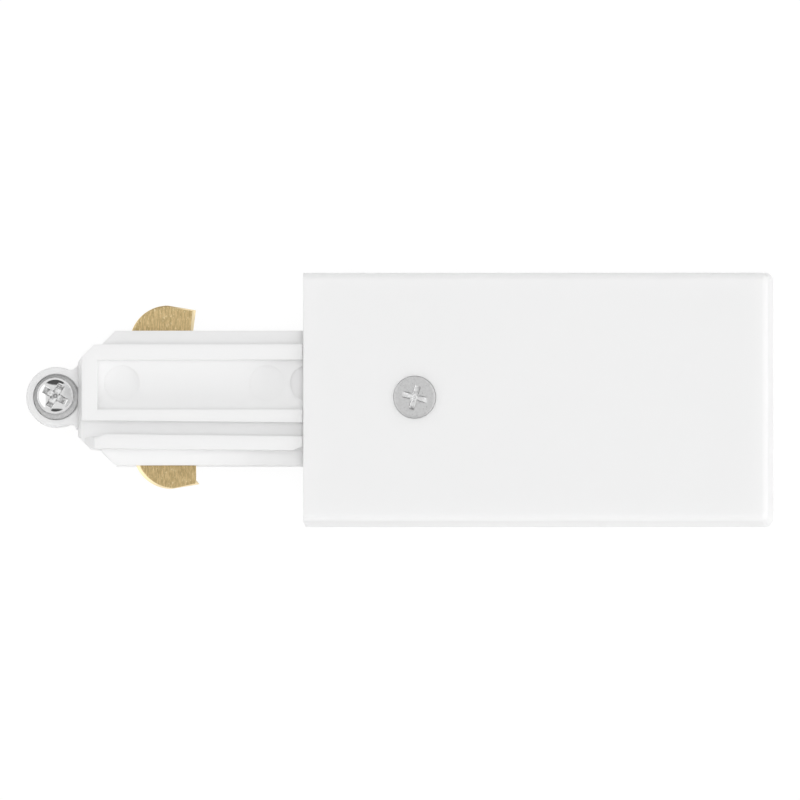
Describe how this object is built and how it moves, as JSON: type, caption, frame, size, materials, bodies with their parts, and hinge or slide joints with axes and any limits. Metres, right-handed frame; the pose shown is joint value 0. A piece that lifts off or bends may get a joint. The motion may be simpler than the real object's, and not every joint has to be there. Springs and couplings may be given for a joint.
{
  "type": "track light power feed",
  "caption": "White live-end feed for a surface lighting track: screwed cover over mains terminals, moulded plug with sprung brass contacts and a locking lug.",
  "frame": {"origin": "middle of the housing's length and width, on the base's back face, which lies on the ceiling", "axes": "+X along the object from the plug to the closed end, +Z out of the ceiling through the cover's face, +Y across"},
  "size_m": [0.1027, 0.035, 0.018],
  "materials": {
    "housing_white": "fine satin moulded white",
    "base_white": "moulded white",
    "plug_white": "smooth moulded white",
    "contact_brass": "rolled brass strip with a fine grain",
    "bright_screw": "bright plated",
    "zinc_screw": "zinc plated",
    "washer_grey": "dull grey plated",
    "terminal_steel": "zinc plated",
    "terminal_plastic": "off-white moulded"
  },
  "bodies": {
    "base": {"housing_base": "base_white", "plug_front": "plug_white", "plug_back": "plug_white", "terminal_block": "terminal_plastic", "earth_strap": "contact_brass", "plug_screw_1": "zinc_screw", "plug_screw_2": "zinc_screw"},
    "cover": {"housing_cover": "housing_white"},
    "cover_screw": {"cover_screw": "zinc_screw"},
    "live_contact": {"live_contact": "contact_brass"},
    "neutral_contact": {"neutral_contact": "contact_brass"},
    "lock_washer": {"lock_washer": "washer_grey"},
    "lock_screw": {"lock_screw": "bright_screw"},
    "live_cage": {"live_cage": "terminal_steel"},
    "neutral_cage": {"neutral_cage": "terminal_steel"},
    "earth_cage": {"earth_cage": "terminal_steel"},
    "live_terminal_screw": {"live_terminal_screw": "zinc_screw"},
    "neutral_terminal_screw": {"neutral_terminal_screw": "zinc_screw"},
    "earth_terminal_screw": {"earth_terminal_screw": "zinc_screw"},
    "cord_clamp": {"cord_clamp": "base_white"},
    "clamp_screw_1": {"clamp_screw_1": "zinc_screw"},
    "clamp_screw_2": {"clamp_screw_2": "zinc_screw"}
  },
  "joints": [
    {"name": "cover_lift", "type": "slide", "parent": "base", "child": "cover", "axis": [0, 0, 1], "range_m": [0, 0.022]},
    {"name": "cover_screw_out", "type": "slide", "parent": "cover", "child": "cover_screw", "axis": [0, 0, 1], "range_m": [0, 0.006]},
    {"name": "live_contact_spring", "type": "hinge", "parent": "base", "child": "live_contact", "pos_m": [-0.0058, 0.0089, 0.0071], "axis": [0, 0, 1], "range_deg": [0, 2.8], "stiffness_Nm_per_rad": 2},
    {"name": "neutral_contact_spring", "type": "hinge", "parent": "base", "child": "neutral_contact", "pos_m": [-0.0058, -0.0089, 0.0071], "axis": [0, 0, -1], "range_deg": [0, 2.8], "stiffness_Nm_per_rad": 2},
    {"name": "lock_screw_travel", "type": "slide", "parent": "base", "child": "lock_washer", "axis": [0, 0, 1], "range_m": [0, 0.00225]},
    {"name": "lock_screw_turn", "type": "hinge", "parent": "lock_washer", "child": "lock_screw", "pos_m": [-0.0663, 0.0002, 0.0091], "axis": [0, 0, 1], "range_deg": [0, 1805]},
    {"name": "live_screw_turn", "type": "hinge", "parent": "base", "child": "live_terminal_screw", "pos_m": [-0.0058, 0.0089, 0.0113], "axis": [0, 0, -1], "range_deg": [0, 1085]},
    {"name": "live_cage_rise", "type": "slide", "parent": "base", "child": "live_cage", "axis": [0, 0, 1], "range_m": [0, 0.0015]},
    {"name": "neutral_screw_turn", "type": "hinge", "parent": "base", "child": "neutral_terminal_screw", "pos_m": [-0.0058, -0.0089, 0.0113], "axis": [0, 0, -1], "range_deg": [0, 1085]},
    {"name": "neutral_cage_rise", "type": "slide", "parent": "base", "child": "neutral_cage", "axis": [0, 0, 1], "range_m": [0, 0.0015]},
    {"name": "earth_screw_turn", "type": "hinge", "parent": "base", "child": "earth_terminal_screw", "pos_m": [-0.0058, 0, 0.0113], "axis": [0, 0, -1], "range_deg": [0, 1085]},
    {"name": "earth_cage_rise", "type": "slide", "parent": "base", "child": "earth_cage", "axis": [0, 0, 1], "range_m": [0, 0.0015]},
    {"name": "clamp_rise", "type": "slide", "parent": "base", "child": "cord_clamp", "axis": [0, 0, 1], "range_m": [0, 0.0025]},
    {"name": "clamp_screw_1_turn", "type": "hinge", "parent": "cord_clamp", "child": "clamp_screw_1", "pos_m": [0.0124, 0.0086, 0.0112], "axis": [0, 0, 1], "range_deg": [0, 905]},
    {"name": "clamp_screw_2_turn", "type": "hinge", "parent": "cord_clamp", "child": "clamp_screw_2", "pos_m": [0.0124, -0.0086, 0.0112], "axis": [0, 0, 1], "range_deg": [0, 905]}
  ],
  "couplings": [
    {"joint": "lock_screw_turn", "follows": "lock_screw_travel", "rad_per_m": 13963},
    {"joint": "live_screw_turn", "follows": "live_cage_rise", "rad_per_m": 12566},
    {"joint": "neutral_screw_turn", "follows": "neutral_cage_rise", "rad_per_m": 12566},
    {"joint": "earth_screw_turn", "follows": "earth_cage_rise", "rad_per_m": 12566},
    {"joint": "clamp_screw_1_turn", "follows": "clamp_rise", "rad_per_m": 6283.2},
    {"joint": "clamp_screw_2_turn", "follows": "clamp_rise", "rad_per_m": 6283.2}
  ]
}
